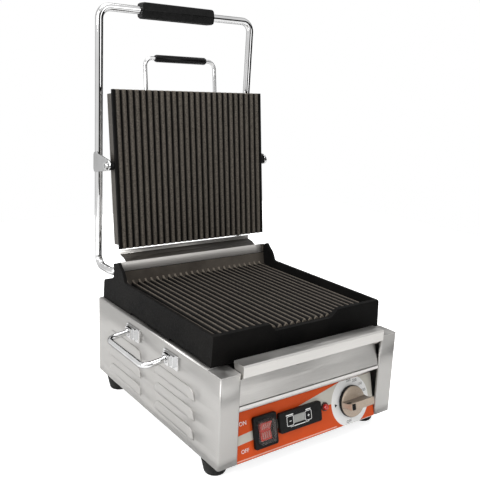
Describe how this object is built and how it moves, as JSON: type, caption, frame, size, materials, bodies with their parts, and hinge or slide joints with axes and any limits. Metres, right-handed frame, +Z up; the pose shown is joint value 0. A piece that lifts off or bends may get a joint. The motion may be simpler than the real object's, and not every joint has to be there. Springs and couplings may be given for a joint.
{
  "type": "panini press",
  "caption": "Contact grill with a ribbed griddle, a ribbed plate on a spring-hinged arm, a pull-out drip tray, carrying handles and a sloped control panel.",
  "frame": {"origin": "under the middle of the object's footprint box, on the surface that its feet stand on", "axes": "+Z up, -Y towards the user and the control panel, +X to the user's right"},
  "size_m": [0.4182, 0.4242, 0.6297],
  "materials": {
    "stainless": "brushed stainless sheet",
    "chrome": "polished",
    "cast_iron": "seasoned cast iron",
    "zinc_steel": "plain plated steel",
    "heater_sheath": "oxidised metal sheath",
    "black_plastic": "moulded",
    "rubber": "moulded",
    "overlay": "printed film",
    "red_plastic": "translucent red",
    "clear_boot": "clear soft cover",
    "knob": "champagne lacquer",
    "white_plastic": "moulded",
    "display": "grey display",
    "wool": "mineral wool"
  },
  "bodies": {
    "base": {"left_side_panel": "stainless", "right_side_panel": "stainless", "rear_panel": "stainless", "tray_divider": "stainless", "control_panel": "stainless", "hinge_cover": "stainless", "bottom_plate": "zinc_steel", "tray_runner_left": "zinc_steel", "tray_runner_right": "zinc_steel", "thermostat": "zinc_steel", "lower_clamp_plate": "zinc_steel", "lower_heat_shield": "zinc_steel", "thermostat_bulb": "zinc_steel", "hinge_block_left": "zinc_steel", "hinge_block_right": "zinc_steel", "torsion_spring_left": "zinc_steel", "torsion_spring_right": "zinc_steel", "foot_front_left": "rubber", "foot_front_right": "rubber", "foot_rear_left": "rubber", "foot_rear_right": "rubber", "panel_overlay": "overlay", "indicator_lamp": "red_plastic", "rocker_boot": "clear_boot", "rocker_housing": "black_plastic", "timer_housing": "black_plastic", "cable_gland": "black_plastic", "timer_window": "display", "terminal_block": "white_plastic", "lower_griddle": "cast_iron", "lower_element": "heater_sheath", "side_handle_left": "chrome", "side_handle_right": "chrome", "handle_mount_left_front": "chrome", "handle_mount_left_rear": "chrome", "handle_mount_right_front": "chrome", "handle_mount_right_rear": "chrome"},
    "arm": {"arm_tube": "chrome", "arm_grip": "black_plastic", "hinge_shaft": "zinc_steel", "pivot_bracket_left": "chrome", "pivot_bracket_right": "chrome"},
    "platen": {"upper_plate": "cast_iron", "upper_cover": "stainless", "upper_element": "heater_sheath", "upper_clamp_plate": "zinc_steel", "upper_insulation": "wool", "pivot_bolt_left": "zinc_steel", "pivot_bolt_right": "zinc_steel", "pivot_spacer_left": "black_plastic", "pivot_spacer_right": "black_plastic", "platen_handle": "chrome", "platen_handle_grip": "black_plastic"},
    "tray": {"drip_tray_pan": "stainless", "drip_tray_front": "stainless"},
    "knob": {"thermostat_knob": "knob", "knob_pointer": "black_plastic"},
    "rocker": {"rocker_button": "red_plastic"},
    "minus_button": {"timer_minus_button": "black_plastic"},
    "plus_button": {"timer_plus_button": "black_plastic"}
  },
  "joints": [
    {"name": "arm_hinge", "type": "hinge", "parent": "base", "child": "arm", "pos_m": [0, 0.14547, 0.2], "axis": [1, 0, 0], "range_deg": [0, 90], "stiffness_Nm_per_rad": 5, "springref_deg": -17.19},
    {"name": "platen_tilt", "type": "hinge", "parent": "arm", "child": "platen", "pos_m": [0, 0.14897, 0.3748], "axis": [1, 0, 0], "range_deg": [0, 6]},
    {"name": "tray_slide", "type": "slide", "parent": "base", "child": "tray", "axis": [0, -1, 0], "range_m": [0, 0.24]},
    {"name": "thermostat_turn", "type": "hinge", "parent": "base", "child": "knob", "pos_m": [0.0815, -0.18353, 0.05606], "axis": [0, 0.9728, -0.2317], "range_deg": [-75, 235]},
    {"name": "rocker_tip", "type": "hinge", "parent": "base", "child": "rocker", "pos_m": [-0.0803, -0.18365, 0.05557], "axis": [-1, 0, 0], "range_deg": [0, 13]},
    {"name": "minus_press", "type": "slide", "parent": "base", "child": "minus_button", "axis": [0, 0.9728, -0.2317], "range_m": [0, 0.0006], "stiffness_N_per_m": 400},
    {"name": "plus_press", "type": "slide", "parent": "base", "child": "plus_button", "axis": [0, 0.9728, -0.2317], "range_m": [0, 0.0006], "stiffness_N_per_m": 400}
  ],
  "couplings": [
    {"joint": "platen_tilt", "follows": "arm_hinge", "ratio": 0.066667}
  ]
}
